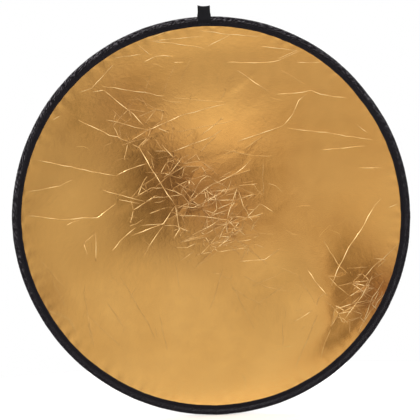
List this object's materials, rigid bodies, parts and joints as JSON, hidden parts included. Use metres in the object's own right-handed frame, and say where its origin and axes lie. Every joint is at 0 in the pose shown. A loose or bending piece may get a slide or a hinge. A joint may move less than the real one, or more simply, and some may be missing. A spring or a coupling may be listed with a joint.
{
  "type": "collapsible reflector disc",
  "caption": "Round collapsible light reflector: gold and silver skins stretched in a bound spring-steel hoop, with a webbing hang loop.",
  "frame": {"origin": "centre of the disc, midway between its two skins", "axes": "+Z towards the hang loop, +Y out of the silver back, -Y out of the gold face"},
  "size_m": [0.7999, 0.0106, 0.8227],
  "materials": {
    "gold_film": "satin",
    "silver_film": "satin",
    "binding_tape": "matte",
    "webbing": "matte",
    "thread": "satin",
    "spring_steel": "satin",
    "plated_steel": "satin",
    "shrink_tube": "satin"
  },
  "bodies": {
    "disc": {"front_skin": "gold_film", "back_skin": "silver_film", "rim_binding": "binding_tape", "channel_seam_front": "thread", "channel_seam_back": "thread", "edge_seam_front": "thread", "edge_seam_back": "thread", "loop_tail_front": "webbing", "loop_tail_back": "webbing", "loop_tack_front": "thread", "loop_tack_back": "thread"},
    "hoop": {"spring_hoop": "spring_steel", "joint_sleeve": "plated_steel", "sleeve_rivets": "plated_steel", "joint_wrap": "shrink_tube"},
    "loop": {"hang_loop": "webbing"}
  },
  "joints": [
    {"name": "loop_flex", "type": "hinge", "parent": "disc", "child": "loop", "pos_m": [0, 0, 0.396], "axis": [1, 0, 0], "range_deg": [-80, 80], "stiffness_Nm_per_rad": 0.003},
    {"name": "hoop_creep", "type": "hinge", "parent": "disc", "child": "hoop", "pos_m": [0, 0, 0], "axis": [0, 1, 0], "continuous": true}
  ]
}
